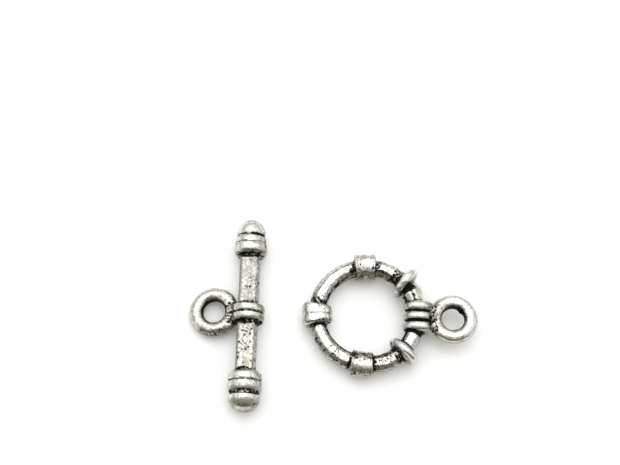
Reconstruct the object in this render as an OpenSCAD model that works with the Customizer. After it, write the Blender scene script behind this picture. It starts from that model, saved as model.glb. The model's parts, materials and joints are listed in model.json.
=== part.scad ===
// Toggle clasp in cast metal: a roped ring with its eye, and the bar that passes through it.
// Both castings lie on a table at z = 0, the ring's eye towards +X and the bar along Y.
// Lengths are in millimetres.

/* [Hoop] */
// Radius of the hoop, from its centre to the middle of its metal
hoop_r = 6.05; // [5.2:0.05:7]
// Thickness of the hoop's metal
hoop_d = 2.1; // [1.7:0.05:2.5]
// Depth that each of the hoop's eight soft flats takes off
hoop_flat = 0.07; // [0.02:0.01:0.12]

/* [Bands] */
// Diameter of the bands bound round the hoop
band_d = 3.18; // [2.9:0.02:3.6]
// Length of a band along the hoop
band_len = 2.5; // [2:0.05:3]
// Width of the raised rim at each end of a band
band_rim_w = 0.3; // [0.2:0.02:0.4]
// Height of the rims over the turns between them
band_rim_rise = 0.06; // [0.02:0.01:0.12]
// Angle of each side band from the eye, round the hoop
side_band_angle = 94; // [88:0.5:98]
// Turns of thread on the two side bands
side_band_turns = 4; // [2:1:6]
// Turns of thread on the band opposite the eye
far_band_turns = 2; // [1:1:4]

/* [Knot discs] */
// Diameter of the two discs that flank the eye
disc_d = 4.25; // [3.9:0.05:4.6]
// Thickness of a disc at its middle
disc_thick = 1.44; // [1.2:0.02:1.7]
// Thickness of a disc at its rounded rim
disc_rim = 1.04; // [0.8:0.02:1.16]
// Angle of each disc from the eye, round the hoop
disc_angle = 43.7; // [40:0.1:48]
// Distance that the discs sit outward of the middle of the hoop's metal
disc_out = 0.2; // [0:0.05:0.4]
// Lean of each disc from square to the hoop, the one towards the tapered end first
disc_lean = [8, 2]; // [0:1:12]

/* [Eye wrap] */
// Strands of the wrap that ties the eye to the hoop
wrap_strands = 3; // [2:1:3]
// Distance from one strand to the next
wrap_pitch = 1.25; // [1.05:0.01:1.3]
// Thickness of a strand
strand_d = 1.32; // [1.32:0.01:1.5]
// Length of the wrap across the hoop
wrap_len = 3.74; // [3.4:0.02:4.2]
// Height of the wrap
wrap_h = 3.1; // [2.8:0.05:3.4]
// Distance that the wrap sits outward of the middle of the hoop's metal
wrap_out = 0.18; // [0:0.01:0.4]

/* [Eyes] */
// Outer diameter of both eyes
eye_d = 6.02; // [5.4:0.02:6.6]
// Thickness of an eye's metal
eye_thick = 1.7; // [1.5:0.02:1.8]
// Bore of both eyes
eye_bore_d = 2.76; // [2.4:0.02:2.9]
// Least length of the straight wall of that bore
eye_land = 0.6; // [0.3:0.05:0.9]
// Depth that the ring's eye is let into the wrap
eye_sink = 0.73; // [0.5:0.01:1]
// Width of the neck that joins the ring's eye to its wrap
ring_neck_w = 3.3; // [2.6:0.05:3.6]
// Width of the neck that joins the bar's eye to its collar
bar_neck_w = 2.3; // [1.8:0.05:2.8]
// Thickness of both necks
neck_h = 1.44; // [1.2:0.02:1.6]
// Distance from the middle of the bar to the middle of its eye
bar_eye_reach = 4.12; // [3.8:0.02:4.5]
// Distance that the bar's eye sits off the middle of the bar's length
bar_eye_shift = 0.2; // [0:0.05:0.5]

/* [Bar] */
// Length of the bar over both ends
bar_len = 23.8; // [21:0.1:28]
// Width across the flats of the square shaft
shaft_w = 2.22; // [1.9:0.02:2.6]
// Radius of the shaft's eased corners
shaft_ease = 0.42; // [0.2:0.02:0.7]
// Diameter of the collar at the middle of the bar
collar_d = 4.04; // [3.6:0.02:4.04]
// Length of the collar
collar_len = 2.37; // [2:0.01:2.8]
// Beads of the collar
collar_beads = 2; // [1:1:3]

/* [Bar ends] */
// Diameter of the largest bead of both ends
end_d = 4.06; // [4:0.02:4.4]
// Length of the tapered end
taper_len = 4.74; // [4.2:0.01:5.6]
// Length of the blunt end
blunt_len = 4.87; // [4.2:0.01:5.6]
// Height of the casting stub left on the tapered end's tip
stub_h = 0.15; // [0.05:0.01:0.25]
// Thickness of that stub
stub_d = 0.7; // [0.5:0.02:0.9]
// Distance of the stub from the middle of the tip
stub_off = 0.3; // [0:0.05:0.4]

/* [Lying on the table] */
// Clear width on the table between the ring and the bar
lay_gap = 4.66; // [2:0.01:8]
// Distance that the ring lies towards the tapered end of the bar
lay_shift = 0.7; // [0:0.05:1.5]
// Turn of the bar from square to the ring
lay_turn = 1.3; // [0:0.1:4]

/* [Hidden] */
$fn = 96;
METAL = "silver";

BAND_R = band_d / 2;
DISC_R = disc_d / 2;
END_R = end_d / 2;
EYE_WIRE_R = eye_thick / 2;
EYE_MID_R = eye_d / 2 - EYE_WIRE_R;
RING_EYE_X = hoop_r + wrap_out + wrap_len / 2 - eye_sink + eye_d / 2;
THREAD_EASE = 0.2;
COLLAR_GROOVE = 0.14;
COLLAR_END = 0.4;
FAR_ANGLE = 180;

// Beads of a bar end, from the shaft outwards, as shares of the end's length and of its largest diameter
LENGTH = 0;
DIAMETER = 1;
INNER_ROUND = 2;
OUTER_ROUND = 3;
//               length  diameter  inner_round  outer_round
TAPERED_BEADS = [[0.335, 1.00, 0.165, 0.045],
                 [0.235, 0.93, 0.035, 0.090],
                 [0.430, 0.85, 0.035, 0.350]];
BLUNT_BEADS = [[0.28, 0.99, 0.160, 0.035],
               [0.28, 1.00, 0.035, 0.090],
               [0.44, 0.92, 0.040, 0.320]];

// The ring leans on its far band and its two discs, which stand lower than the band
DISC_X = (hoop_r + disc_out) * cos(disc_angle);
RING_TILT = asin((DISC_R - BAND_R) / (DISC_X + hoop_r));
RING_Z = BAND_R + hoop_r * sin(RING_TILT);

// The bar lies on its ends and rolls until its eye touches the table
BAR_Z = END_R;
BAR_ROLL = asin((BAR_Z - EYE_WIRE_R) / (bar_eye_reach + EYE_MID_R));

// Both castings are placed so that the middle of the whole footprint is the origin
BAR_REACH = (bar_eye_reach + EYE_MID_R) * cos(BAR_ROLL) + EYE_WIRE_R;
RING_REACH = (RING_EYE_X + EYE_MID_R) * cos(RING_TILT) + EYE_WIRE_R;
APART = END_R + lay_gap + BAND_R + hoop_r;
BAR_X = (BAR_REACH - APART - RING_REACH) / 2;
RING_X = BAR_X + APART;

function before(rows, i) = i == 0 ? 0 : rows[i - 1][LENGTH] + before(rows, i - 1);

// Half section of a bead from a to b along its axis, with its two edges rounded
module bead_half(a, b, r, round_a, round_b) {
    deep = max(round_a, round_b);
    square_from([0, a], [r - deep, b]);
    square_from([0, a + round_a], [r, b - round_b]);
    square_from([0, a], [r - round_a, a + round_a]);
    square_from([0, b - round_b], [r - round_b, b]);
    translate([r - round_a, a + round_a]) circle(round_a);
    translate([r - round_b, b - round_b]) circle(round_b);
}

module square_from(low, high) {
    translate(low) square(high - low);
}

// Turns a half section that is drawn along Y, so that its axis lies along Y in space too
module turned() {
    rotate([-90, 0, 0]) rotate_extrude() children();
}

// The hoop's metal is round with eight soft flats
module hoop() {
    flat_r = hoop_d / 2 - hoop_flat;
    rotate_extrude() translate([hoop_r, 0]) intersection() {
        circle(d = hoop_d);
        rotate(22.5) circle(flat_r / cos(22.5), $fn = 8);
    }
}

// Thread bound round the hoop between two rims
module band(angle, turns) {
    rim_round = band_rim_w / 3;
    inner = band_len / 2 - band_rim_w;
    pitch = 2 * inner / turns;
    thread_round = pitch * THREAD_EASE;
    rotate(angle) translate([hoop_r, 0]) turned() {
        for (side = [0, 1]) mirror([0, side])
            bead_half(inner, inner + band_rim_w, BAND_R, rim_round, rim_round);
        for (i = [0 : turns - 1]) translate([0, i * pitch - inner])
            bead_half(0, pitch, BAND_R - band_rim_rise, thread_round, thread_round);
    }
}

// A lens with a rounded rim, square to the hoop
module knot_disc(angle, lean) {
    rim_r = disc_rim / 2;
    hub_r = DISC_R / 2;
    rotate(angle) translate([hoop_r + disc_out, 0]) rotate(lean) turned() {
        polygon([[0, -disc_thick / 2], [hub_r, -disc_thick / 2], [DISC_R - rim_r, -rim_r],
                 [DISC_R - rim_r, rim_r], [hub_r, disc_thick / 2], [0, disc_thick / 2]]);
        intersection() {
            translate([DISC_R - rim_r, 0]) circle(rim_r);
            square_from([0, -rim_r], [DISC_R, rim_r]);
        }
    }
}

// One strand of the wrap, a loop over and under the hoop, filled by the metal that it ties
module strand() {
    loop_r = wrap_h / 2;
    straight = wrap_len - wrap_h;
    for (side = [0, 1]) mirror([side, 0]) translate([straight / 2, 0])
        rotate([90, 0, 0]) rotate_extrude(angle = 180, start = -90) strand_half(loop_r);
    rotate([90, 0, 90]) linear_extrude(straight, center = true)
        for (side = [0, 1]) mirror([0, side]) rotate(90) strand_half(loop_r);
}

module strand_half(loop_r) {
    square_from([0, -strand_d / 2], [loop_r - strand_d / 2, strand_d / 2]);
    intersection() {
        translate([loop_r - strand_d / 2, 0]) circle(d = strand_d);
        square_from([loop_r - strand_d / 2, -strand_d / 2], [loop_r, strand_d / 2]);
    }
}

module eye_wrap() {
    translate([hoop_r + wrap_out, 0])
        for (i = [0 : wrap_strands - 1])
            translate([0, (i - (wrap_strands - 1) / 2) * wrap_pitch]) strand();
}

// An eye lies flat round Z, with a straight bore
module eye_body() {
    rotate_extrude() {
        translate([EYE_MID_R, 0]) circle(EYE_WIRE_R);
        square_from([eye_bore_d / 2, -eye_land / 2], [EYE_MID_R, eye_land / 2]);
    }
}

module eye_bore() {
    cylinder(h = 2 * eye_thick, d = eye_bore_d, center = true);
}

// A flat neck with round edges, from the piece that carries the eye to the middle of the eye's metal
module neck(length, width) {
    flat = width - neck_h;
    rotate([90, 0, 90]) linear_extrude(length) {
        square([flat, neck_h], center = true);
        for (side = [-1, 1]) translate([side * flat / 2, 0]) circle(d = neck_h);
    }
}

module ring_casting() {
    difference() {
        union() {
            hoop();
            for (side = [-1, 1]) band(side * side_band_angle, side_band_turns);
            band(FAR_ANGLE, far_band_turns);
            knot_disc(disc_angle, disc_lean[0]);
            knot_disc(-disc_angle, disc_lean[1]);
            eye_wrap();
            translate([hoop_r, 0]) neck(RING_EYE_X - EYE_MID_R - hoop_r, ring_neck_w);
            translate([RING_EYE_X, 0]) eye_body();
        }
        translate([RING_EYE_X, 0]) eye_bore();
    }
}

// The shaft is square with eased corners
module shaft() {
    length = bar_len - (taper_len + blunt_len) / 2;
    inner = shaft_w - 2 * shaft_ease;
    rotate([90, 0, 0]) linear_extrude(length, center = true) {
        square([shaft_w, inner], center = true);
        square([inner, shaft_w], center = true);
        for (x = [-1, 1], z = [-1, 1]) translate([x, z] * inner / 2) circle(shaft_ease);
    }
}

// The collar is rounder at its two ends than in the grooves between its beads
module collar() {
    pitch = collar_len / collar_beads;
    last = collar_beads - 1;
    groove_round = pitch * COLLAR_GROOVE;
    end_round = pitch * COLLAR_END;
    turned() for (i = [0 : last]) translate([0, i * pitch - collar_len / 2])
        bead_half(0, pitch, collar_d / 2, i == 0 ? end_round : groove_round,
                  i == last ? end_round : groove_round);
}

// A turned end that starts at the shaft and points along +Y
module bar_end(length, beads) {
    turned() for (i = [0 : len(beads) - 1]) translate([0, before(beads, i) * length])
        intersection() {
            bead_half(0, beads[i][LENGTH] * length, beads[i][DIAMETER] * END_R,
                      beads[i][INNER_ROUND] * length, beads[i][OUTER_ROUND] * length);
            square_from([0, 0], [END_R, length]);
        }
}

module casting_stub() {
    translate([-stub_off, bar_len / 2 - stub_d / 2]) sphere(d = stub_d);
}

module bar_casting() {
    difference() {
        union() {
            shaft();
            collar();
            translate([0, bar_len / 2 - stub_h - taper_len]) bar_end(taper_len, TAPERED_BEADS);
            casting_stub();
            rotate(180) translate([0, bar_len / 2 - blunt_len]) bar_end(blunt_len, BLUNT_BEADS);
            translate([-bar_eye_reach, bar_eye_shift]) eye_body();
            rotate(180) neck(bar_eye_reach - EYE_MID_R, bar_neck_w);
        }
        translate([-bar_eye_reach, bar_eye_shift]) eye_bore();
    }
}

module toggle_ring() {
    color(METAL) translate([RING_X, lay_shift, RING_Z]) rotate([0, -RING_TILT, 0]) ring_casting();
}

module toggle_bar() {
    color(METAL) translate([BAR_X, 0, BAR_Z]) rotate([0, -BAR_ROLL, lay_turn]) bar_casting();
}

toggle_ring();
toggle_bar();
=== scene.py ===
"""An antique silver toggle clasp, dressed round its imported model.

The two castings are remeshed finely, softened and marked as hand-finished castings are, and given one worn
antique finish. Properties hold metres, as Blender does. The mesh code works in millimetres and degrees, in each
casting's own axes."""

import json
import math

import bpy
import numpy as np
from mathutils import Matrix, Vector


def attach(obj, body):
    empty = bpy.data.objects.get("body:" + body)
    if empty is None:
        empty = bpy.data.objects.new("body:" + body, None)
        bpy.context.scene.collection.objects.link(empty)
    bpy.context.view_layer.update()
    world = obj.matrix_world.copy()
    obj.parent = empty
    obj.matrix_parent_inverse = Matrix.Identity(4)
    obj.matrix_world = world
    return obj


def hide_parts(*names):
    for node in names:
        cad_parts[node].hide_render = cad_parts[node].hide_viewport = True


bl_info = {
    "name": "Antique Toggle Clasp",
    "version": (1, 0, 0),
    "blender": (4, 5, 0),
    "location": "3D View > Sidebar > Toggle Clasp",
    "description": "Dresses the ring and the bar of a toggle clasp in worn antique silver",
    "category": "Object",
}

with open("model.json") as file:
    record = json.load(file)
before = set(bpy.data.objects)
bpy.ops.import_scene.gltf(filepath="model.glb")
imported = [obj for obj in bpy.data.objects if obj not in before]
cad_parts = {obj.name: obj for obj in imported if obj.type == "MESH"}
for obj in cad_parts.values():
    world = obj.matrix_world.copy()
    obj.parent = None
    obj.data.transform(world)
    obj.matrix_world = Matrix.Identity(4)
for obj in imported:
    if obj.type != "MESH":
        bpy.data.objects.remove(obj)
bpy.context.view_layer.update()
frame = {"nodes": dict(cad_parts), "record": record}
MM = 1000.0
FINISH_NAME = "worn_antique_silver"

# Factors that scramble the whole numbers of a cell and its seed into one fixed random number
CELL_FACTORS = (73856093, 19349663, 83492791)
SEED_FACTOR = 26544357
MIXING_FACTOR = 1274126177

# Where each eye sits from the middle of the hoop or of the bar, where its metal starts and is full along X, where
# its throat and its mouth are full and faded out, and how far to each side the joint that holds it is full and
# faded out
RING_EYE_AT = (10.38, 0.0, 0.0)
BAR_EYE_AT = (-4.12, 0.2, 0.0)
RING_EYE_START = (8.6, 9.4)
BAR_EYE_START = (2.3, 2.8)
EYE_THROAT = (1.43, 1.50)
EYE_MOUTH = (1.52, 1.72)
RING_JOINT_REACH = (1.5, 2.1)
BAR_JOINT_REACH = (1.1, 1.7)

# The hoop: radius of its middle line and of its metal, where its inside starts and is full, and where its outside
# is full and faded out, for its masks and for its bows. Then, from the middle line, where its bare metal is full
# and faded out, and where the discs start and are full
HOOP_R = 6.05
HOOP_WIRE_R = 1.05
HOOP_INSIDE = (3.6, 4.0)
HOOP_OUTSIDE = (8.3, 8.6)
BOW_OUTSIDE = (8.6, 8.9)
HOOP_BARE = (1.26, 1.42)
DISC_START = (1.75, 1.95)

# Where the hoop bows outwards a little: the angle, the half width and the reach
HOOP_BOWS = ((-64.0, 14.0, 0.15), (30.0, 9.0, 0.06))

# The three bands, the far one last: their angles, the distance from the hoop's middle line at which their metal
# starts and is full, how far to each side their flat middle reaches and their work ends, and their rims and side
# grooves, each as the place along the band, the half width, and the height or depth
BANDS = (94.0, -94.0, -177.2)
FAR_BAND = 2
BAND_WIRE = (1.35, 1.5)
BAND_FLAT = (0.9, 1.05)
BAND_END = 2.2
BAND_RIM = (1.12, 0.12, 0.05)
BAND_SIDE = (1.42, 0.15, 0.08)

# Fuller places: half width and height on the first band's outer side, then angle, half width and height on the
# hoop between the first disc and the wrap
FIRST_BAND_SWELL = (10.0, 0.11)
HOOP_SWELL = (29.0, 8.0, 0.25)

# Grooves between the turns of thread on the inner side of the near bands: how far along the band, the middle and
# the half width of that side round the metal, how far the grooves wander, their half width and their depth
THREAD_LINES = (-0.475, 0.0, 0.475)
THREAD_SIDE = (127.0, 20.0)
THREAD_WANDER = 0.07
THREAD_HALF_WIDTH = 0.10
THREAD_DEPTH = 0.13

# Grooves along the far band: how far along, how much the line wanders, half width, depth and held patina
FAR_BAND_LINES = ((0.0, 0.04, 0.07, 0.025, 0.30), (1.02, 0.05, 0.08, 0.04, 0.45))

# The far band's barrel: how far it slides round the hoop, the shares by which its ends run down to the hoop's
# metal, how much more they do so on the outer side, and its waist, then what is added at its corners, on its inner
# side and on its outer side
FAR_BAND_SHIFT = 0.3
FAR_BAND_END_DROP = 0.6
FAR_BAND_OUTER_DROP = 0.3
FAR_BAND_WAIST = 0.15
FAR_BAND_CORNERS = 0.09
FAR_BAND_INNER = 0.40
FAR_BAND_OUTER = 0.2

# The wrap that ties the hoop to its neck: where it starts and ends along X, and the grooves between its strands,
# with how far they wander, their half width and their depth
WRAP_START = (4.1, 4.6)
WRAP_END = (7.6, 8.2)
WRAP_LINE = 0.625
WRAP_WANDER = 0.06
WRAP_HALF_WIDTH = 0.13
WRAP_DEPTH = 0.12

# Lumps and dents of the ring: where, how far they reach along each of its axes, and their height
RING_LUMPS = (
    ((4.94, -5.35, 1.47), (0.5, 0.5, 0.4), -0.10),
    ((4.00, 3.45, 1.85), (0.45, 0.45, 0.4), -0.10),
    ((11.25, 0.95, -0.15), (0.42, 0.36, 0.4), 0.24),
)

# The bar: the distance from its axis where its metal is full and faded out, how far the collar sits to the south
# of where the solid has it, the middle of each half of the shaft and how far to each side that half is full and
# faded out, where the stub at its tip starts and is full, and how much the stub is raised
BAR_OUTSIDE = (2.25, 2.5)
COLLAR_SHIFT = 0.13
SHAFT_MIDDLE = 4.1
SHAFT_REACH = (2.75, 2.95)
STUB = (11.2, 11.8)
STUB_RISE = 0.10

# Grooves of the bar: how far along its length, half width, depth, and the patina that stays in them, then how far
# they wander
BAR_GROOVES = (
    (6.93, 0.13, 0.12, 0.62), (8.36, 0.17, 0.03, 0.30), (9.63, 0.20, 0.10, 0.54),
    (1.02, 0.16, 0.09, 0.95), (0.82, 0.16, 0.02, 0.50), (-0.17, 0.12, 0.06, 0.48), (-1.36, 0.13, 0.10, 0.65),
    (-7.18, 0.13, 0.10, 0.78), (-8.34, 0.20, 0.02, 0.20), (-9.82, 0.15, 0.04, 0.45),
)
BAR_GROOVE_WANDER = 0.10

# Shoulders of the bar's beads, which roll off to the south on the upper side: from, to, drop, and how far past
# its end the drop fades. The power sets how late a shoulder starts to drop
BAR_SHOULDERS = (
    (8.30, 6.95, 0.30, 0.12), (0.30, -0.17, 0.12, 0.12), (-0.22, -1.33, 0.28, 0.12),
    (-8.48, -9.82, 0.28, 0.30), (-8.05, -8.36, 0.06, 0.12),
)
SHOULDER_POWER = 1.6

# Painted shade as film on the south sides of the bar's beads, where they face the dark side of the tent, and
# painted
# highlight, less film, along their crowns: how far along, half width and amount, then how far its edges wander
BEAD_SHADE_AND_HIGHLIGHT = (
    (10.55, 0.50, -0.35), (9.05, 0.28, -0.20), (7.95, 0.30, -0.25), (7.30, 0.26, 0.75),
    (0.55, 0.25, -0.20), (-0.45, 0.22, -0.20), (-0.98, 0.24, 0.60),
    (-7.85, 0.28, -0.25), (-8.75, 0.26, -0.25), (-9.36, 0.28, 0.70), (-10.25, 0.32, -0.25), (-11.00, 0.36, 0.65),
)
BEAD_SHADE_WANDER = 0.12

# Hollows that hold patina: rounds of smoothing that find them, depths at which they start to hold it and hold it
# fully, and the share they hold
HOLLOWS = ((3, 0.001, 0.005, 0.25), (16, 0.002, 0.014, 0.7), (70, 0.01, 0.055, 0.35), (220, 0.02, 0.10, 0.2))
HOLLOWS_HOLD = 0.72

# What flanks gain in patina and tarnish, which is partly painted shade that darkens the steep sides towards the
# outlines, the most that hollows and flanks hold together, what wear takes off edges, and the patina in the mouth
# and the throat of a bore
FLANK_PATINA_AND_SHADE, FLANK_TARNISH_AND_SHADE = 0.26, 0.25
MOST_PATINA_AND_SHADE = 0.86
WEAR = 0.25
MOUTH_PATINA, THROAT_PATINA = 0.34, 0.62

# Patina on the hoop's metal: from and to round the hoop, then middle and half width round its metal, and the
# amount, under 0 where the metal is worn bare
HOOP_PATINA = (
    (104.0, 113.0, 132.0, 42.0, 0.86),
    (104.0, 107.0, 50.0, 25.0, 0.50),
    (106.0, 170.0, 160.0, 18.0, 0.70),
    (106.0, 170.0, 182.0, 16.0, 0.97),
    (110.0, 168.0, 68.0, 3.5, 0.36),
    (78.0, 85.0, 100.0, 85.0, 0.80),
    (58.0, 84.0, 121.0, 13.0, 0.80),
    (61.0, 81.0, 144.0, 9.0, -0.30),
    (58.0, 84.0, 163.0, 12.0, 0.75),
    (49.0, 58.0, 110.0, 60.0, 0.78),
    (31.0, 39.0, 115.0, 60.0, 0.86),
    (19.0, 39.0, 96.0, 13.0, 0.86),
    (19.0, 39.0, 158.0, 18.0, 0.86),
    (19.0, 28.0, 115.0, 16.0, -0.30),
    (19.0, 39.0, 8.0, 14.0, 0.50),
    (-39.0, -20.0, 158.0, 26.0, 0.80),
    (-39.0, -20.0, 4.0, 16.0, 0.80),
    (-20.0, -18.0, 80.0, 80.0, 0.90),
    (-55.0, -46.0, 90.0, 80.0, 0.78),
    (-84.0, -52.0, 138.0, 26.0, 0.52),
    (-84.0, -52.0, 95.0, 30.0, 0.22),
    (-84.0, -78.0, 80.0, 80.0, 0.55),
    (-106.0, -104.0, 80.0, 90.0, 0.70),
    (-172.0, -106.0, 152.0, 16.0, 0.70),
    (-150.0, -112.0, 40.0, 20.0, 0.36),
    (-135.0, -108.0, 88.0, 25.0, 0.12),
    (-172.0, -163.0, 90.0, 80.0, 0.50),
    (166.0, 171.0, 110.0, 70.0, 0.84),
)

# Patina in the notches of the bands, painted shade on their flanks, and painted highlight where the amount is under
# 0:
# which band, then middle, half width and amount as above
BAND_PATINA_AND_SHADE = (
    (0, 113.0, 12.0, 0.34),
    (0, 132.0, 14.0, -0.40),
    (0, 158.0, 14.0, 0.42),
    (1, 118.0, 26.0, 0.40),
    (1, 28.0, 14.0, 0.42),
    (1, 2.0, 12.0, -0.40),
    (2, 22.0, 34.0, -0.35),
    (2, 162.0, 24.0, 0.48),
)

# Grains of the finish, in millimetres, the swirl that bends the cells among them and how far it bends them, and
# how strongly each grain breaks up the edges of the black and of the film
SPECK_SIZE, PATCH_SIZE, FINE_SIZE = 0.42, 0.9, 0.07
DOT_SIZE, FLECK_SIZE = 0.22, 0.14
SWIRL_SIZE = 1 / 6
SWIRL_REACH = (0.25, 0.25, 0.25)
BLACK_DOTS, BLACK_SPECK, BLACK_PATCH = 1.0, 1.6, 0.6
FILM_FLECKS, FILM_SPECK, FILM_PATCH = 1.4, 1.0, 0.8

# The amounts at which the black and the film start and are full, and what the film is given everywhere
BLACK_EDGE = (0.54, 0.58)
FILM_EDGE = (0.12, 0.88)
FILM_BASE = 0.36

# How much rougher the specks, the tarnish with its painted shade and the black make the metal, how high the fine
# grain and the specks stand, how far the black sinks, and how much of the metal's shine it takes
ROUGHER_SPECK, ROUGHER_TARNISH_AND_SHADE, ROUGHER_BLACK = 0.12, 0.3, 0.3
RELIEF_FINE, RELIEF_SPECK, RELIEF_BLACK = 0.35, 0.8, 0.7
BLACK_HIDES = 0.9

# How far the softbox hangs to the left and to the far side, and the camera's focal length in widths of its image
SOFTBOX_OFFSET = (-0.05, 0.11)
FOCAL_LENGTH = 1100 / 620

# The tent: its walls low down and high up, and the dark side where the photographer stands. The dark side narrows
# by its spread, starts and is full at its edge, and clears towards the top in two steps, each from, to and share
TENT_LOW = (0.52, 0.52, 0.51)
TENT_HIGH = (1.0, 1.0, 0.99)
TENT_DARK = (0.135, 0.125, 0.09)
DARK_SPREAD = 0.80
DARK_EDGE = (-0.16, 0.10)
DARK_CLEARS = ((0.80, 0.97, 0.62), (0.20, 0.85, 0.38))

# Sockets of a Mix node that mixes colours. They go by number, as the names of its sockets repeat
MIX_FACTOR, MIX_FIRST, MIX_SECOND, MIX_RESULT = 0, 6, 7, 2


def metres(name, description, default, smallest=0.0):
    """A length property."""
    return bpy.props.FloatProperty(
        name=name, description=description, default=default, min=smallest,
        subtype="DISTANCE", unit="LENGTH", precision=5)


def share(name, description, default, most=1.0):
    """A plain number property."""
    return bpy.props.FloatProperty(name=name, description=description, default=default, min=0.0, max=most)


def degrees(name, description, default):
    """An angle property."""
    return bpy.props.FloatProperty(
        name=name, description=description, default=math.radians(default), subtype="ANGLE")


def colour(name, description, default):
    """A colour property, in linear light."""
    return bpy.props.FloatVectorProperty(
        name=name, description=description, default=default, size=3, min=0.0, max=1.0, subtype="COLOR")


class CastingSizes(bpy.types.PropertyGroup):
    """How finely the castings are meshed, and how soft and uneven their skin is"""
    grain: metres("Grain", "Edge of one face of the fine mesh", 0.00008, 0.00004)
    softening: bpy.props.IntProperty(
        name="Softening", description="Rounds of smoothing that turn sharp corners into cast ones",
        default=5, min=0, max=40)
    waver: metres("Waver", "Depth of the slow unevenness of a hand-finished pattern", 0.00004)
    ripple: metres("Ripple", "Depth of the small dents of the cast skin", 0.000022)


class FinishLook(bpy.types.PropertyGroup):
    """The worn antique silver"""
    bright: colour("Bright", "Polished high places", (0.785, 0.78, 0.74))
    # The film colour is tarnish, and also painted shade on the flanks, bands and beads
    film_and_shade: colour("Film", "Thin tarnish on the flanks", (0.27, 0.26, 0.21))
    black: colour("Black", "Patina in the recesses", (0.003, 0.003, 0.0026))
    bright_roughness: share("Bright roughness", "Roughness of the polished places", 0.21)
    film_cover: share("Film cover", "How far the film hides the bright metal under it", 0.85)
    skin: metres("Skin", "Height of the finest grain of the surface", 0.000015)


class StageSizes(bpy.types.PropertyGroup):
    """The table, the light and the camera"""
    table_size: metres("Table", "Side of the pale table top", 1.2)
    table_colour: colour("Table colour", "Pale matt table top", (0.965, 0.965, 0.96))
    softbox_size: metres("Softbox", "Side of the light above", 0.42)
    softbox_height: metres("Softbox height", "Height of the light over the table", 0.42)
    softbox_power: share("Softbox power", "Power of the light, in watts", 0.71, 100.0)
    tent_light: share("Tent light", "Brightness of the white tent round the table", 1.14, 10.0)
    camera_distance: metres("Camera distance", "From the camera to the point it aims at", 0.138101)
    camera_turn: degrees("Camera turn", "Turn of the view away from +Y", 5.272)
    camera_drop: degrees("Camera drop", "Angle of the view below the level", 69.561)
    camera_roll: degrees("Camera roll", "Roll of the camera", 8.611)
    aim: bpy.props.FloatVectorProperty(
        name="Aim", description="Point on the table that the camera aims at",
        default=(-0.003323, 0.011568, 0.0), size=3, subtype="TRANSLATION", unit="LENGTH")


def bump_at(x, middle, width):
    """A smooth hump of height 1 and the given width, one value for each x."""
    return np.exp(-((x - middle) / width) ** 2)


def ramp(x, low, high):
    """0 below low, 1 above high, and a smooth rise between."""
    t = np.clip((x - low) / (high - low), 0.0, 1.0)
    return t * t * (3.0 - 2.0 * t)


def below(x, full, faded):
    """1 below full, 0 above faded, and a smooth fall between."""
    return ramp(-x, -faded, -full)


def within(x, full, faded):
    """1 where x is no farther from 0 than full, 0 beyond faded, and a smooth fall between."""
    return below(np.abs(x), full, faded)


def around(angle, middle):
    """The turn from middle to each angle, from -180 to 180."""
    return (angle - middle + 180.0) % 360.0 - 180.0


def grid_value(cell, seed):
    """A fixed random number from 0 to 1 for each whole-numbered cell."""
    x, y, z = (cell * CELL_FACTORS).T
    n = x ^ y ^ z ^ seed * SEED_FACTOR
    n = ((n ^ (n >> 13)) * MIXING_FACTOR) & 0xFFFFFFFF
    return ((n ^ (n >> 16)) & 0xFFFF) / 65535.0


def cloud(points, size, seed):
    """Smooth noise from -1 to 1 with lumps of about the given size."""
    p = points / size + 512.0
    low = np.floor(p).astype(np.int64)
    t = p - low
    t = t * t * (3.0 - 2.0 * t)
    total = np.zeros(len(points))
    for corner in np.ndindex(2, 2, 2):
        weight = np.prod(np.where(corner, t, 1.0 - t), axis=1)
        total += weight * grid_value(low + corner, seed)
    return 2.0 * total - 1.0


class Axes:
    """A casting's own axes in the row frame, from its eye's mount, in millimetres."""

    def __init__(self, mount, eye_at):
        up = np.array(mount["axis"])
        level = np.array([-up[0], -up[1]]) / math.hypot(up[0], up[1])
        along = np.array([-level[1], level[0], 0.0])
        self.turn = np.column_stack([np.cross(along, up), along, up])
        self.middle = np.array(mount["pos_m"]) * MM - self.turn @ np.array(eye_at)

    def inward(self, points):
        """Points of the row frame, in the casting's axes."""
        return (points - self.middle) @ self.turn

    def outward(self, points):
        """Points of the casting's axes, in the row frame."""
        return points @ self.turn.T + self.middle


def fine_mesh(node, grain):
    """An even mesh of one CAD node, in millimetres."""
    blank = frame["nodes"][node].data.copy()
    blank.transform(Matrix.Scale(MM, 4))
    pattern = bpy.data.objects.new(node + "_pattern", blank)
    bpy.context.scene.collection.objects.link(pattern)
    even = pattern.modifiers.new("even", "REMESH")
    even.mode = "VOXEL"
    even.voxel_size = grain * MM
    seen = pattern.evaluated_get(bpy.context.evaluated_depsgraph_get())
    mesh = bpy.data.meshes.new_from_object(seen)
    bpy.data.objects.remove(pattern)
    bpy.data.meshes.remove(blank)
    return mesh


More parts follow.
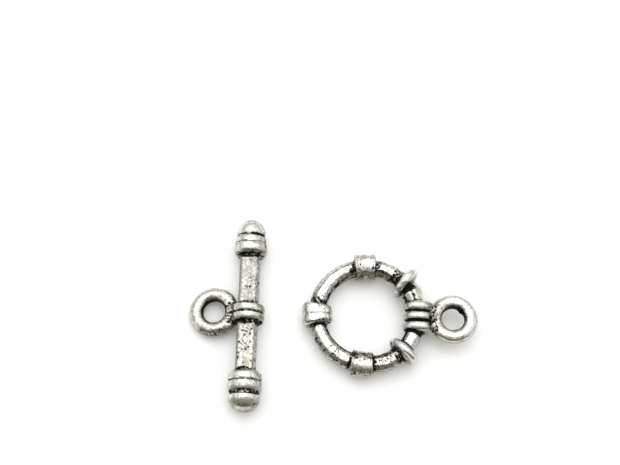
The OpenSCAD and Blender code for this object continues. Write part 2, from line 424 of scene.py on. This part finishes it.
class Casting:
    """A fine mesh of one CAD node, worked on in its own axes and in millimetres."""

    def __init__(self, node, axes, grain):
        self.mesh = fine_mesh(node, grain)
        self.axes = axes
        count = len(self.mesh.vertices)
        raw = np.empty(count * 3, np.float32)
        self.mesh.vertices.foreach_get("co", raw)
        self.co = axes.inward(raw.reshape(-1, 3).astype(float))
        ends = np.empty(len(self.mesh.edges) * 2, np.int32)
        self.mesh.edges.foreach_get("vertices", ends)
        self.ends = ends.reshape(-1, 2)
        self.degree = np.bincount(ends, minlength=count)[:, None]
        self.rise = np.zeros(count)
        self.grooved = np.zeros(count)
        # Tarnish, together with painted shade and painted highlight laid as film
        self.tarnish_and_shade = np.zeros(count)
        self.grit = np.ones(count)

    def neighbour_mean(self, values):
        """The mean of each vertex's neighbours."""
        a, b = self.ends.T
        columns = [np.bincount(a, column[b], len(column)) + np.bincount(b, column[a], len(column))
                   for column in values.T]
        return np.column_stack(columns) / self.degree

    def smoothed(self, values, rounds):
        """The values after some rounds of moving halfway to their neighbours' mean."""
        for _ in range(rounds):
            values = 0.5 * values + 0.5 * self.neighbour_mean(values)
        return values

    def soften(self, rounds):
        """Rounds the whole casting."""
        self.co = self.smoothed(self.co, rounds)

    def normals(self):
        """The skin's normals, in the casting's axes."""
        self.mesh.vertices.foreach_set("co", self.co.astype(np.float32).ravel())
        self.mesh.update()
        raw = np.empty(len(self.co) * 3, np.float32)
        self.mesh.vertex_normals.foreach_get("vector", raw)
        return raw.reshape(-1, 3).astype(float)

    def melt(self, share_here, rounds):
        """Rounds each place by its share, as run metal fills a joint."""
        self.co = self.co + (self.smoothed(self.co, rounds) - self.co) * share_here[:, None]

    def raise_up(self, height):
        """Adds to the heights that the next push gives the skin."""
        self.rise = self.rise + height

    def groove(self, line, depth, held=1.0):
        """Cuts a groove where line is near 1, and keeps patina in it."""
        self.rise = self.rise - line * depth
        self.grooved = np.maximum(self.grooved, line * held)

    def push(self):
        """Moves the skin outwards by the heights that were added up."""
        self.co = self.co + self.normals() * self.rise[:, None]
        self.rise = np.zeros(len(self.co))

    def hollowness(self, rounds):
        """How far the skin lies below its own smoothed copy: over 0 in recesses, under 0 on edges."""
        return np.sum((self.smoothed(self.co, rounds) - self.co) * self.normals(), axis=1)

    def skin(self, sizes, seed):
        """The slow waver of the pattern and the small dents of the cast skin."""
        self.raise_up(sizes.waver * MM * cloud(self.co, size=1.9, seed=seed))
        dents = cloud(self.co, size=0.75, seed=seed + 1) + 0.6 * cloud(self.co, size=0.33, seed=seed + 2)
        self.raise_up(sizes.ripple * MM * dents)
        self.push()

    def joint(self, middle, half_width, reach):
        """The joint that holds the eye: how far along X, its half width, and how far to each side it reaches."""
        return bump_at(self.co[:, 0], middle, half_width) * within(self.co[:, 1], *reach)

    def finish(self, name, node, patina_and_shade, material):
        """Makes the piece, with the share of patina and painted shade at each vertex, in place of its CAD node."""
        mesh = self.mesh
        place = self.axes.outward(self.co) / MM
        place[:, 2] = np.maximum(place[:, 2], 0.0)
        mesh.vertices.foreach_set("co", place.astype(np.float32).ravel())
        for title, values in (("patina_and_shade", patina_and_shade), ("tarnish_and_shade", self.tarnish_and_shade), ("grit", self.grit)):
            layer = mesh.attributes.new(title, "FLOAT", "POINT")
            layer.data.foreach_set("value", np.clip(values, -0.5, 1.0).astype(np.float32))
        mesh.polygons.foreach_set("use_smooth", np.ones(len(mesh.polygons), bool))
        mesh.materials.clear()
        mesh.materials.append(material)
        mesh.update()
        mesh.name = name
        piece = bpy.data.objects.new(name, mesh)
        bpy.context.scene.collection.objects.link(piece)
        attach(piece, "root")
        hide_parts(node)
        return piece


class HoopPlace:
    """Where each vertex of the ring lies round the hoop and round the hoop's metal."""

    def __init__(self, co):
        x, y, z = co.T
        self.radius = np.hypot(x, y)
        self.angle = np.degrees(np.arctan2(y, x))
        self.out = self.radius - HOOP_R
        self.wire = np.hypot(self.out, z)
        self.tube = np.degrees(np.arctan2(z, self.out))
        self.outer = np.cos(np.radians(self.tube))
        self.upper = np.sin(np.radians(self.tube))
        self.on_hoop = ramp(self.radius, *HOOP_INSIDE) * below(self.radius, *HOOP_OUTSIDE)

    def along(self, angle):
        """The distance along the hoop from the given angle."""
        return np.radians(around(self.angle, angle)) * HOOP_R


def bow_hoop(ring):
    """Slides the far band a little round the hoop, and bows the hoop where the real one isn't round."""
    place = HoopPlace(ring.co)
    near = within(place.along(180.0), full=1.6, faded=3.4) * below(place.radius, *BOW_OUTSIDE)
    turn = FAR_BAND_SHIFT / HOOP_R * near
    reach = np.ones(len(turn))
    for angle, half_width, out in HOOP_BOWS:
        bow = out / HOOP_R * bump_at(around(place.angle, angle), 0.0, half_width)
        reach += bow * below(place.radius, *BOW_OUTSIDE)
    x, y, z = ring.co.T
    turned_x = x * np.cos(turn) - y * np.sin(turn)
    turned_y = x * np.sin(turn) + y * np.cos(turn)
    ring.co = np.column_stack([turned_x * reach, turned_y * reach, z])


def round_far_band(ring):
    """Makes the far band a barrel, whose ends run down to the hoop's metal and whose sides are full."""
    place = HoopPlace(ring.co)
    along = np.abs(place.along(BANDS[FAR_BAND]))
    near = place.on_hoop * below(along, full=1.8, faded=2.2)
    drop = FAR_BAND_END_DROP + FAR_BAND_OUTER_DROP * ramp(place.outer, 0.1, 0.9)
    waist = bump_at(along, 0.0, 0.25) * ramp(np.abs(place.outer), 0.5, 0.9)
    narrower = drop * ramp(along, 0.82, 1.42) + FAR_BAND_WAIST * waist
    share_left = 1.0 - near * narrower * np.maximum(1.0 - HOOP_WIRE_R / place.wire, 0.0)
    stretch = (HOOP_R + place.out * share_left) / place.radius
    ring.co = ring.co * np.column_stack([stretch, stretch, share_left])
    ring.melt(0.8 * near, rounds=6)
    place = HoopPlace(ring.co)
    above = ramp(place.upper, -0.6, -0.2)
    fuller = FAR_BAND_CORNERS * np.sin(2.0 * np.radians(place.tube)) ** 2
    fuller += FAR_BAND_INNER * ramp(-place.outer, 0.2, 1.0) + FAR_BAND_OUTER * ramp(place.outer, 0.1, 0.9)
    ring.raise_up(near * above * fuller * within(place.along(BANDS[FAR_BAND]), full=0.8, faded=1.5))
    ring.push()
    ring.melt(0.8 * near, rounds=4)


def swell_hoop(ring, place):
    """Fills out the first band's outer side, and the hoop between the first disc and the wrap."""
    half_width, height = FIRST_BAND_SWELL
    outer_side = ramp(place.outer, 0.2, 0.8) * bump_at(around(place.angle, BANDS[0]), 0.0, half_width)
    ring.raise_up(height * outer_side * ramp(place.wire, *BAND_WIRE) * place.on_hoop)
    angle, half_width, height = HOOP_SWELL
    swell = bump_at(around(place.angle, angle), 0.0, half_width) * below(place.wire, full=1.2, faded=1.35)
    ring.raise_up(height * swell * place.on_hoop)


def side_grooves(ring, near, along):
    """The groove at each side of a band."""
    middle, half_width, depth = BAND_SIDE
    ring.groove(near * bump_at(np.abs(along), middle, half_width), depth)


def thread_near_bands(ring, place):
    """Rims, side grooves and broken thread lines of the two near bands."""
    middle, half_width = THREAD_SIDE
    inner_side = bump_at(around(place.tube, middle), 0.0, half_width)
    rim, rim_half_width, rim_height = BAND_RIM
    for number, angle in enumerate(BANDS[:FAR_BAND]):
        along = place.along(angle)
        near = place.on_hoop * (np.abs(along) < BAND_END)
        ring.raise_up(near * rim_height * bump_at(np.abs(along), rim, rim_half_width))
        side_grooves(ring, near, along)
        broken = ramp(cloud(ring.co, size=0.45, seed=410 + number), -0.5, 0.3)
        for turn in THREAD_LINES:
            line = turn + THREAD_WANDER * cloud(ring.co, size=0.7, seed=420 + number)
            cut = bump_at(along, line, THREAD_HALF_WIDTH)
            ring.groove(near * inner_side * broken * cut, THREAD_DEPTH)


def score_far_band(ring, place):
    """Side grooves of the far band, and the shallow lines between its turns."""
    along = place.along(BANDS[FAR_BAND])
    near = place.on_hoop * (np.abs(along) < BAND_END)
    side_grooves(ring, near, along)
    for number, (middle, wander, half_width, depth, held) in enumerate(FAR_BAND_LINES):
        line = middle + wander * cloud(ring.co, size=0.9, seed=430 + number)
        ring.groove(near * bump_at(along, line, half_width), depth, held)


def groove_wrap(ring):
    """The two wandering grooves between the three strands of the wrap."""
    wrap = ramp(ring.co[:, 0], *WRAP_START) * below(ring.co[:, 0], *WRAP_END)
    drawn_out = ring.co * (0.4, 1.0, 0.4)
    for side in (-1, 1):
        line = side * WRAP_LINE + WRAP_WANDER * cloud(drawn_out, size=0.6, seed=440 + side)
        ring.groove(wrap * bump_at(ring.co[:, 1], line, WRAP_HALF_WIDTH), WRAP_DEPTH)


def ring_relief(ring):
    """Rims, thread grooves, lumps and dents of the ring casting."""
    bow_hoop(ring)
    round_far_band(ring)
    joint = ring.joint(middle=8.1, half_width=0.55, reach=RING_JOINT_REACH)
    ring.melt(joint, rounds=70)
    place = HoopPlace(ring.co)
    for angle in BANDS:
        ring.melt(0.75 * place.on_hoop * within(place.along(angle), *BAND_FLAT), rounds=12)
    ring.raise_up(0.05 * joint * cloud(ring.co, size=0.36, seed=401))
    place = HoopPlace(ring.co)
    swell_hoop(ring, place)
    thread_near_bands(ring, place)
    score_far_band(ring, place)
    for middle, reach, height in RING_LUMPS:
        ring.raise_up(height * np.exp(-np.sum(((ring.co - middle) / reach) ** 2, axis=1)))
    groove_wrap(ring)
    ring.push()


def bar_relief(bar):
    """Grooves, rolled shoulders and casting stub of the bar casting."""
    joint = bar.joint(middle=-2.25, half_width=0.45, reach=BAR_JOINT_REACH)
    bar.melt(joint, rounds=50)
    bar.raise_up(0.06 * joint * cloud(bar.co, size=0.36, seed=210))
    x, y, z = bar.co.T
    on_bar = below(np.hypot(x, z), *BAR_OUTSIDE)
    upper = ramp(z / np.hypot(x, z), -0.5, 0.6)
    y = y - COLLAR_SHIFT * within(y, full=1.5, faded=2.2) * on_bar
    bar.co[:, 1] = y
    for start, end, drop, fade in BAR_SHOULDERS:
        roll = np.clip((start - y) / (start - end), 0.0, 1.0) ** SHOULDER_POWER * ramp(y, end - fade, end)
        bar.raise_up(-drop * roll * on_bar * upper)
    bar.raise_up(STUB_RISE * ramp(y, *STUB))
    drawn_out = bar.co * (1.0, 0.15, 1.0)
    for number, (middle, half_width, depth, held) in enumerate(BAR_GROOVES):
        line = middle + BAR_GROOVE_WANDER * cloud(drawn_out, size=0.8, seed=200 + number)
        broken = ramp(cloud(drawn_out, size=0.5, seed=300 + number), -0.9, 0.1)
        bar.groove(on_bar * broken * bump_at(y, line, half_width), depth, held)
    bar.push()


def hollow_patina_and_flank_shade(casting):
    """The share of patina that hollows hold, and of patina and painted shade on the flanks, less what wear takes
    off edges.
    """
    hollow = sum(held * ramp(casting.hollowness(rounds), low, high) for rounds, low, high, held in HOLLOWS)
    worn = ramp(-casting.hollowness(8), 0.006, 0.02)
    # Steep flanks: patina that stays on the sides, and painted shade for their dark reflections along the outlines
    flank = within(casting.normals()[:, 2], full=0.2, faded=0.6)
    casting.tarnish_and_shade += FLANK_TARNISH_AND_SHADE * flank
    held = np.maximum(np.minimum(hollow, HOLLOWS_HOLD), casting.grooved)
    return np.minimum(held + FLANK_PATINA_AND_SHADE * flank, MOST_PATINA_AND_SHADE) - WEAR * worn


def bore_patina(casting, eye_at, toward, more):
    """Patina in the mouth of the eye's bore, with more of it on the toward side, and black in its throat."""
    x, y, _ = (casting.co - eye_at).T
    radius = np.hypot(x, y)
    side = within(around(np.degrees(np.arctan2(y, x)), toward), full=25.0, faded=95.0)
    mouth = below(radius, *EYE_MOUTH) * (MOUTH_PATINA + more * side)
    return mouth + THROAT_PATINA * below(radius, *EYE_THROAT)


def lay_patina_and_shade(amount, place, here, middle, half_width, most):
    """Adds patina round the hoop's metal, or wears the metal bare where the amount is under 0. For the bands it
    also lays painted shade and painted highlight.
    """
    turn = np.abs(around(place.tube, middle))
    here = here * below(turn, full=half_width * 0.6, faded=half_width * 1.4)
    if most > 0.0:
        return np.maximum(amount, here * most)
    return amount * (1.0 - here) + here * most


def ring_patina_and_shade(ring):
    """The share of patina and painted shade on the ring, and its tarnish, which is partly painted shade, and grit.
    """
    place = HoopPlace(ring.co)
    x, y, z = ring.co.T
    amount = hollow_patina_and_flank_shade(ring)
    bare = place.on_hoop * below(place.wire, *HOOP_BARE)
    for start, end, *row in HOOP_PATINA:
        inside = ramp(place.angle, start - 3.0, start) * below(place.angle, full=end, faded=end + 3.0)
        amount = lay_patina_and_shade(amount, place, bare * inside, *row)
    band = ramp(place.wire, *BAND_WIRE) * place.on_hoop
    # Bands: patina in the notches, painted shade on the flanks facing the dark side, painted highlight on rims and
    # crowns
    for number, *row in BAND_PATINA_AND_SHADE:
        inside = within(place.along(BANDS[number]), full=1.3, faded=1.5)
        amount = lay_patina_and_shade(amount, place, band * inside, *row)
    eye = ramp(x, *RING_EYE_START)
    amount = np.maximum(amount - 0.05 * eye, bore_patina(ring, RING_EYE_AT, toward=55.0, more=0.3))
    joint = ring.joint(middle=8.3, half_width=0.5, reach=RING_JOINT_REACH)
    wrap = ramp(x, *WRAP_START) * (1.0 - eye)
    disc = ramp(place.wire, *DISC_START) * place.on_hoop
    polished = np.maximum(eye, disc)
    ring.tarnish_and_shade += 0.06 - 0.25 * polished + 0.12 * eye
    ring.grit = 1.0 - 0.5 * np.maximum(polished, wrap) + 0.4 * joint + 0.05 * eye - 0.1 * band * (1.0 - disc)
    forks = ramp(x, 7.0, 7.5) * below(x, full=8.3, faded=8.7) * within(y, full=1.6, faded=2.0) * ramp(z, 0.1, 0.5)
    return np.maximum(amount + 0.16 * joint - 0.3 * disc, 0.48 * forks)


def bar_patina_and_shade(bar):
    """The share of patina and painted shade on the bar, and its tarnish, which is partly painted shade and
    highlight, and grit.
    """
    x, y, z = bar.co.T
    along_shaft = np.abs(np.abs(y) - SHAFT_MIDDLE)
    shaft = below(along_shaft, *SHAFT_REACH) * ramp(x, -1.6, -1.4)
    amount = hollow_patina_and_flank_shade(bar) + 0.06 * shaft
    joint = bar.joint(middle=-2.35, half_width=0.5, reach=BAR_JOINT_REACH)
    eye = ramp(-x, *BAR_EYE_START)
    shaft_ends = shaft * ramp(along_shaft, 1.7, 2.7)
    # Film over the shaft, more on the +Y half and along a strip just off its crown; painted shade along the -X edge
    # and painted highlight along the +X edge
    shaft_shade_and_highlight = 0.38 + 0.12 * ramp(y, -1.0, 1.0) + 0.45 * ramp(-x, 0.6, 1.0) + 0.18 * bump_at(x, 0.3, 0.4)
    shaft_shade_and_highlight -= 0.5 * ramp(x, 0.75, 1.0)
    bar.tarnish_and_shade += 0.08 * eye + shaft * shaft_shade_and_highlight + 0.15 * shaft_ends + 0.35 * ramp(y, 11.1, 11.6)
    upper = ramp(z / np.hypot(x, z), 0.2, 0.7) * ramp(x, -1.9, -1.2)
    # Painted shade on the beads' south sides and painted highlight along their crowns, as film and a little patina
    for middle, half_width, most in BEAD_SHADE_AND_HIGHLIGHT:
        film_and_shade = most * upper * bump_at(y, middle + BEAD_SHADE_WANDER * cloud(bar.co, size=0.7, seed=220), half_width)
        bar.tarnish_and_shade += film_and_shade
        amount += 0.30 * np.maximum(film_and_shade, 0.0)
    bar.grit = 0.65 + 0.35 * shaft + 0.6 * joint - 0.2 * eye + 0.7 * ramp(amount, 0.25, 0.5) * (1.0 - shaft)
    # Painted shade on the south side of the eye's outside: more patina and grit there
    eye_x, eye_y = x - BAR_EYE_AT[0], y - BAR_EYE_AT[1]
    south_shade = within(around(np.degrees(np.arctan2(eye_y, eye_x)), -70.0), full=35.0, faded=75.0)
    south_shade *= eye * ramp(np.hypot(eye_x, eye_y), 2.0, 2.6)
    bar.grit += 0.4 * south_shade
    bore = bore_patina(bar, BAR_EYE_AT, toward=80.0, more=0.06)
    return np.maximum(amount, bore) + 0.2 * joint + 0.26 * south_shade


class Amount:
    """A number that changes over a surface. Arithmetic on it adds Math nodes."""

    def __init__(self, look, socket):
        self.look = look
        self.socket = socket

    def maths(self, operation, *values):
        """One Math node."""
        return self.look.add("ShaderNodeMath", {"operation": operation}, dict(enumerate(values)))

    def __add__(self, other):
        return self.maths("ADD", self, other)

    def __sub__(self, other):
        return self.maths("SUBTRACT", self, other)

    def __rsub__(self, other):
        return self.maths("SUBTRACT", other, self)

    def __mul__(self, other):
        return self.maths("MULTIPLY", self, other)

    def __abs__(self):
        return self.maths("ABSOLUTE", self)

    __radd__ = __add__
    __rmul__ = __mul__

    def step(self, low, high):
        """0 below low, 1 above high, and a smooth rise between."""
        return self.look.add("ShaderNodeMapRange", {"interpolation_type": "SMOOTHSTEP"},
                             {"Value": self, "From Min": low, "From Max": high})


class Look:
    """The node tree of one material or of the world."""

    def __init__(self, owner):
        owner.use_nodes = True
        self.tree = owner.node_tree
        self.tree.nodes.clear()

    def add(self, kind, settings=None, sockets=None, output=0):
        """One node: its settings first, then the values or links of its sockets."""
        node = self.tree.nodes.new(kind)
        for name, value in (settings or {}).items():
            setattr(node, name, value)
        for name, value in (sockets or {}).items():
            if isinstance(value, Amount):
                self.tree.links.new(value.socket, node.inputs[name])
            else:
                node.inputs[name].default_value = value
        return Amount(self, node.outputs[output]) if node.outputs else node

    def blend(self, first, second, factor):
        """A mix of two colours."""
        first, second = [c if isinstance(c, Amount) else (*c, 1.0) for c in (first, second)]
        return self.add("ShaderNodeMix", {"data_type": "RGBA"},
                        {MIX_FACTOR: factor, MIX_FIRST: first, MIX_SECOND: second}, MIX_RESULT)

    def noise(self, place, size, detail, roughness=0.5, output="Fac"):
        """Soft noise with lumps of about the given size."""
        return self.add("ShaderNodeTexNoise", {},
                        {"Vector": place, "Scale": 1.0 / size, "Detail": detail, "Roughness": roughness}, output)

    def cells(self, place, size):
        """Cells of about the given size, each with its own value."""
        tint = self.add("ShaderNodeTexVoronoi", {}, {"Vector": place, "Scale": 1.0 / size}, "Color")
        return self.add("ShaderNodeSeparateColor", {}, {"Color": tint}, "Red")

    def share_of(self, way, axis):
        """How far a direction points along an axis."""
        return self.add("ShaderNodeVectorMath", {"operation": "DOT_PRODUCT"}, {0: way, 1: axis}, "Value")


def antique_silver(finish):
    """Worn silver under a broken film that also carries painted shade, with black patina in the recesses and grains
    of it in the cast skin.
    """
    material = bpy.data.materials.new(FINISH_NAME)
    look = Look(material)
    place = look.add("ShaderNodeTexCoord", output="Object")
    place = look.add("ShaderNodeVectorMath", {"operation": "SCALE"}, {"Vector": place, "Scale": MM})
    # Patina and tarnish of the castings, both carrying painted shade as well
    patina_and_shade, tarnish_and_shade, grit = [look.add("ShaderNodeAttribute", {"attribute_name": name}, output="Fac")
                             for name in ("patina_and_shade", "tarnish_and_shade", "grit")]
    swirl = look.noise(place, SWIRL_SIZE, 1.0, output="Color")
    bent_place = look.add("ShaderNodeVectorMath", {"operation": "MULTIPLY_ADD"},
                          {0: swirl, 1: SWIRL_REACH, 2: place})
    speck = look.noise(place, SPECK_SIZE, 3.0, 0.62)
    patch = look.noise(place, PATCH_SIZE, 1.0)
    fine = look.noise(place, FINE_SIZE, 2.0)
    dots = look.cells(bent_place, DOT_SIZE)
    flecks = look.cells(bent_place, FLECK_SIZE)
    black_edge = (dots - 0.5) * BLACK_DOTS + (speck - 0.5) * BLACK_SPECK + (patch - 0.5) * BLACK_PATCH
    black = (patina_and_shade + black_edge * grit).step(*BLACK_EDGE)
    film_edge = (flecks - 0.5) * FILM_FLECKS + (speck - 0.5) * FILM_SPECK + (patch - 0.5) * FILM_PATCH
    # The film: tarnish, and painted shade and highlight carried in from the castings
    film_and_shade = (patina_and_shade * 1.5 + tarnish_and_shade + film_edge * grit + FILM_BASE).step(*FILM_EDGE)
    tone = look.blend(finish.bright, finish.film_and_shade, film_and_shade * finish.film_cover)
    tone = look.blend(tone, finish.black, black)
    roughness = (finish.bright_roughness + (speck - 0.4) * ROUGHER_SPECK + tarnish_and_shade * ROUGHER_TARNISH_AND_SHADE
                 + black * ROUGHER_BLACK)
    relief = fine * RELIEF_FINE + speck * grit * RELIEF_SPECK - black * RELIEF_BLACK
    bent = look.add("ShaderNodeBump", {}, {"Strength": 1.0, "Distance": finish.skin, "Height": relief})
    shader = look.add("ShaderNodeBsdfPrincipled", {}, {
        "Base Color": tone, "Metallic": 1.0 - black * BLACK_HIDES, "Roughness": roughness,
        "Specular IOR Level": 0.1, "Normal": bent})
    look.add("ShaderNodeOutputMaterial", {}, {"Surface": shader})
    return material


def mount_of(name):
    """The record's mount of that name."""
    return next(mount for mount in frame["record"]["mounts"] if mount["name"] == name)


def finish_material(scene):
    """The one finish that both castings share."""
    return bpy.data.materials.get(FINISH_NAME) or antique_silver(scene.clasp_finish)


class CLASP_OT_ring(bpy.types.Operator):
    """Dress the ring: hoop, bands, discs, wrap and eye in one casting"""
    bl_idname = "clasp.ring"
    bl_label = "Ring"

    def execute(self, context):
        scene = context.scene
        ring = Casting("toggle_ring", Axes(mount_of("ring_eye"), RING_EYE_AT), scene.clasp_casting.grain)
        ring.soften(scene.clasp_casting.softening)
        ring_relief(ring)
        ring.skin(scene.clasp_casting, seed=11)
        ring.finish("ring_casting", "toggle_ring", ring_patina_and_shade(ring), finish_material(scene))
        return {"FINISHED"}


class CLASP_OT_bar(bpy.types.Operator):
    """Dress the bar: shaft, collar, two turned ends and eye in one casting"""
    bl_idname = "clasp.bar"
    bl_label = "Bar"

    def execute(self, context):
        scene = context.scene
        bar = Casting("toggle_bar", Axes(mount_of("bar_eye"), BAR_EYE_AT), scene.clasp_casting.grain)
        bar.soften(scene.clasp_casting.softening)
        bar_relief(bar)
        bar.skin(scene.clasp_casting, seed=71)
        bar.finish("bar_casting", "toggle_bar", bar_patina_and_shade(bar), finish_material(scene))
        return {"FINISHED"}


def lay_table(stage):
    """The pale table top."""
    mesh = bpy.data.meshes.new("table")
    half = stage.table_size / 2
    mesh.from_pydata([(-half, -half, 0), (half, -half, 0), (half, half, 0), (-half, half, 0)], [], [(0, 1, 2, 3)])
    material = bpy.data.materials.new("table_white")
    look = Look(material)
    shader = look.add("ShaderNodeBsdfPrincipled", {}, {
        "Base Color": (*stage.table_colour, 1.0), "Roughness": 0.35, "Specular IOR Level": 0.5})
    look.add("ShaderNodeOutputMaterial", {}, {"Surface": shader})
    mesh.materials.append(material)
    table = bpy.data.objects.new("table", mesh)
    bpy.context.scene.collection.objects.link(table)


def pitch_tent(stage):
    """A white tent round the table, dark where the photographer stands."""
    world = bpy.data.worlds.new("tent")
    bpy.context.scene.world = world
    look = Look(world)
    way = look.add("ShaderNodeTexCoord", output="Generated")
    towards_camera = look.share_of(way, (0.0, -1.0, 0.0))
    height = look.share_of(way, (0.0, 0.0, 1.0))
    sideways = look.share_of(way, (1.0, 0.0, 0.0))
    top, middle = [height.step(start, end) * part for start, end, part in DARK_CLEARS]
    dark = (1.0 - (top + middle)) * (towards_camera - abs(sideways) * DARK_SPREAD).step(*DARK_EDGE)
    walls = look.blend(TENT_LOW, TENT_HIGH, height.step(0.0, 0.7))
    tone = look.blend(walls, TENT_DARK, dark)
    light = look.add("ShaderNodeBackground", {}, {"Color": tone, "Strength": stage.tent_light})
    look.add("ShaderNodeOutputWorld", {}, {"Surface": light})


def hang_softbox(stage):
    """A softbox above the far side of the table."""
    softbox = bpy.data.lights.new("softbox", "AREA")
    softbox.shape = "SQUARE"
    softbox.size = stage.softbox_size
    softbox.energy = stage.softbox_power
    lamp = bpy.data.objects.new("softbox", softbox)
    lamp.location = (*SOFTBOX_OFFSET, stage.softbox_height)
    lamp.rotation_euler = (-lamp.location).to_track_quat("-Z", "Y").to_euler()
    lamp.visible_camera = False
    bpy.context.scene.collection.objects.link(lamp)


def place_camera(stage):
    """The camera, at the photo's angle."""
    turn, drop, roll = stage.camera_turn, stage.camera_drop, stage.camera_roll
    look = Vector((math.sin(turn) * math.cos(drop), math.cos(turn) * math.cos(drop), -math.sin(drop)))
    right = Vector((math.cos(turn), -math.sin(turn), 0.0))
    up = right.cross(look)
    rolled_right = right * math.cos(roll) + up * math.sin(roll)
    rolled_up = up * math.cos(roll) - right * math.sin(roll)
    camera = bpy.data.objects.new("camera", bpy.data.cameras.new("camera"))
    place = Matrix((rolled_right, rolled_up, -look)).transposed().to_4x4()
    place.translation = Vector(stage.aim) - look * stage.camera_distance
    camera.matrix_world = place
    camera.data.lens = camera.data.sensor_width * FOCAL_LENGTH
    camera.data.clip_start = 0.005
    bpy.context.scene.collection.objects.link(camera)
    bpy.context.scene.camera = camera


class CLASP_OT_stage(bpy.types.Operator):
    """Lay the pale table, hang the soft light and place the camera"""
    bl_idname = "clasp.stage"
    bl_label = "Stage"

    def execute(self, context):
        stage = context.scene.clasp_stage
        lay_table(stage)
        pitch_tent(stage)
        hang_softbox(stage)
        place_camera(stage)
        context.scene.view_settings.view_transform = "Standard"
        return {"FINISHED"}


GROUPS = {"clasp_casting": CastingSizes, "clasp_finish": FinishLook, "clasp_stage": StageSizes}
OPERATORS = (CLASP_OT_ring, CLASP_OT_bar, CLASP_OT_stage)


class CLASP_PT_sidebar(bpy.types.Panel):
    """Sizes, looks and steps of the toggle clasp"""
    bl_label = "Toggle Clasp"
    bl_idname = "CLASP_PT_sidebar"
    bl_space_type = "VIEW_3D"
    bl_region_type = "UI"
    bl_category = "Toggle Clasp"

    def draw(self, context):
        for name, kind in GROUPS.items():
            box = self.layout.box()
            box.label(text=name.removeprefix("clasp_").title())
            for key in kind.__annotations__:
                box.prop(getattr(context.scene, name), key)
        for operator in OPERATORS:
            self.layout.operator(operator.bl_idname)


CLASSES = (*GROUPS.values(), *OPERATORS, CLASP_PT_sidebar)


def register():
    for cls in CLASSES:
        bpy.utils.register_class(cls)
    for name, kind in GROUPS.items():
        setattr(bpy.types.Scene, name, bpy.props.PointerProperty(type=kind))


def unregister():
    for name in GROUPS:
        delattr(bpy.types.Scene, name)
    for cls in reversed(CLASSES):
        bpy.utils.unregister_class(cls)


def main():
    register()
    bpy.ops.clasp.ring()
    bpy.ops.clasp.bar()
    bpy.ops.clasp.stage()


if __name__ == "__main__":
    main()
